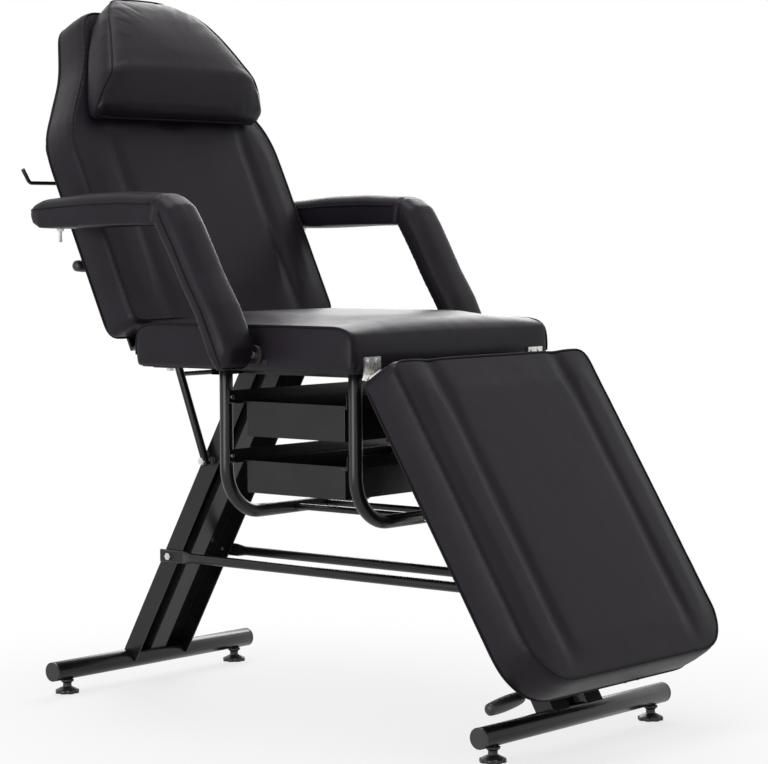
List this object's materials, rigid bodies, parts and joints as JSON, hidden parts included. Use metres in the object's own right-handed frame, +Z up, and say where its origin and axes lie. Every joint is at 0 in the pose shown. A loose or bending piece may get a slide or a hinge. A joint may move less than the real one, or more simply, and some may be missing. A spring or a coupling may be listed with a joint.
{
  "type": "tattoo chair",
  "caption": "Reclining treatment chair with padded backrest, seat and leg rest on a leaning steel frame, notched rails with struts, swinging armrests, trays and paper rod.",
  "frame": {"origin": "on the floor, midway along and across the chair as it stands at rest", "axes": "+X to the foot end, +Y to the sitter's left, +Z up"},
  "size_m": [1.32, 0.7806, 1.3785],
  "materials": {
    "leather": "soft black upholstery leather with a low sheen",
    "powder_coat": "black semi-gloss powder coat on steel",
    "backing": "black covered board",
    "zinc": "bright zinc plate",
    "brass_screw": "yellow passivated screws",
    "black_plastic": "black moulded plastic"
  },
  "bodies": {
    "frame": {"rear_foot_bar": "powder_coat", "front_foot_bar": "powder_coat", "foot_bar_end_caps": "black_plastic", "rear_leg": "powder_coat", "front_leg": "powder_coat", "tie_rods": "powder_coat", "seat_rails": "powder_coat", "seat_cross_bars": "powder_coat", "rear_tray_frame": "powder_coat", "front_tray_frame": "powder_coat", "tray_frame_braces": "powder_coat", "frame_bolts": "zinc", "upper_tray_rails": "powder_coat", "lower_tray_rails": "powder_coat", "tray_rail_screws": "zinc", "seat_board": "backing", "seat_cushion": "leather", "armrest_sockets": "backing", "armrest_spacers": "black_plastic", "armrest_pivot_bolts": "zinc", "back_hinge_brackets": "powder_coat", "back_hinge_pins": "zinc", "leg_rest_seat_leaves": "zinc", "leg_rest_hinge_pins": "zinc", "strut_pivot_bolts": "zinc"},
    "backrest": {"back_board": "backing", "back_cushion": "leather", "back_strap_bolts": "zinc", "back_panel_screws": "brass_screw", "back_rails": "powder_coat", "back_straps": "powder_coat", "rod_clamp": "powder_coat"},
    "back_strut": {"back_strut": "powder_coat", "back_release_bar": "powder_coat", "back_release_grips": "black_plastic"},
    "pillow": {"pillow": "leather"},
    "paper_rod": {"paper_rod": "powder_coat"},
    "leg_rest": {"leg_rest_board": "backing", "leg_rest_cushion": "leather", "leg_rest_screws": "brass_screw", "leg_rest_rails": "powder_coat", "leg_rest_leaves": "zinc"},
    "leg_rest_strut": {"leg_rest_strut": "powder_coat", "leg_rest_release_bar": "powder_coat", "leg_rest_release_grips": "black_plastic"},
    "right_armrest": {"right_armrest_pad": "leather", "right_armrest_post": "leather", "right_zip_slider": "zinc"},
    "left_armrest": {"left_armrest_pad": "leather", "left_armrest_post": "leather", "left_zip_slider": "zinc"},
    "right_zip_pull": {"right_zip_pull": "zinc"},
    "left_zip_pull": {"left_zip_pull": "zinc"},
    "upper_tray": {"upper_tray": "powder_coat"},
    "lower_tray": {"lower_tray": "powder_coat"},
    "rear_right_foot": {"rear_right_foot": "black_plastic"},
    "rear_left_foot": {"rear_left_foot": "black_plastic"},
    "front_right_foot": {"front_right_foot": "black_plastic"},
    "front_left_foot": {"front_left_foot": "black_plastic"}
  },
  "joints": [
    {"name": "backrest_recline", "type": "hinge", "parent": "frame", "child": "backrest", "pos_m": [-0.31915, 0, 0.705], "axis": [0, -1, 0], "range_deg": [0, 64.6]},
    {"name": "back_strut_swing", "type": "hinge", "parent": "frame", "child": "back_strut", "pos_m": [-0.30915, 0, 0.462], "axis": [0, -1, 0], "range_deg": [0, 44.4]},
    {"name": "leg_rest_lift", "type": "hinge", "parent": "frame", "child": "leg_rest", "pos_m": [0.24985, 0, 0.65], "axis": [0, -1, 0], "range_deg": [0, 58.2]},
    {"name": "leg_rest_strut_swing", "type": "hinge", "parent": "frame", "child": "leg_rest_strut", "pos_m": [0.27285, 0, 0.462], "axis": [0, -1, 0], "range_deg": [0, 71.5]},
    {"name": "right_armrest_swing", "type": "hinge", "parent": "frame", "child": "right_armrest", "pos_m": [0.01785, -0.345, 0.686], "axis": [0, -1, 0], "range_deg": [0, 75]},
    {"name": "left_armrest_swing", "type": "hinge", "parent": "frame", "child": "left_armrest", "pos_m": [0.01785, 0.345, 0.686], "axis": [0, -1, 0], "range_deg": [0, 75]},
    {"name": "upper_tray_slide", "type": "slide", "parent": "frame", "child": "upper_tray", "axis": [0, 1, 0], "range_m": [-0.25, 0.25]},
    {"name": "lower_tray_slide", "type": "slide", "parent": "frame", "child": "lower_tray", "axis": [0, 1, 0], "range_m": [-0.25, 0.25]},
    {"name": "pillow_pull_off", "type": "slide", "parent": "backrest", "child": "pillow", "axis": [0.9033, 0, 0.4289], "range_m": [0, 0.08]},
    {"name": "paper_rod_swing", "type": "hinge", "parent": "backrest", "child": "paper_rod", "pos_m": [-0.56058, 0, 1.08306], "axis": [0, 1, 0], "range_deg": [-2, 150]},
    {"name": "right_zip_pull_swing", "type": "hinge", "parent": "right_armrest", "child": "right_zip_pull", "pos_m": [-0.43643, -0.345, 0.91242], "axis": [0, 1, 0], "range_deg": [-30, 30]},
    {"name": "left_zip_pull_swing", "type": "hinge", "parent": "left_armrest", "child": "left_zip_pull", "pos_m": [-0.43643, 0.345, 0.91242], "axis": [0, 1, 0], "range_deg": [-30, 30]},
    {"name": "rear_right_foot_turn", "type": "hinge", "parent": "frame", "child": "rear_right_foot", "pos_m": [-0.54715, -0.24, 0], "axis": [0, 0, 1], "continuous": true},
    {"name": "rear_left_foot_turn", "type": "hinge", "parent": "frame", "child": "rear_left_foot", "pos_m": [-0.54715, 0.24, 0], "axis": [0, 0, 1], "continuous": true},
    {"name": "front_right_foot_turn", "type": "hinge", "parent": "frame", "child": "front_right_foot", "pos_m": [0.51285, -0.24, 0], "axis": [0, 0, 1], "continuous": true},
    {"name": "front_left_foot_turn", "type": "hinge", "parent": "frame", "child": "front_left_foot", "pos_m": [0.51285, 0.24, 0], "axis": [0, 0, 1], "continuous": true}
  ],
  "couplings": [
    {"joint": "back_strut_swing", "follows": "backrest_recline", "ratio": 0.686},
    {"joint": "leg_rest_strut_swing", "follows": "leg_rest_lift", "ratio": 1.226}
  ]
}
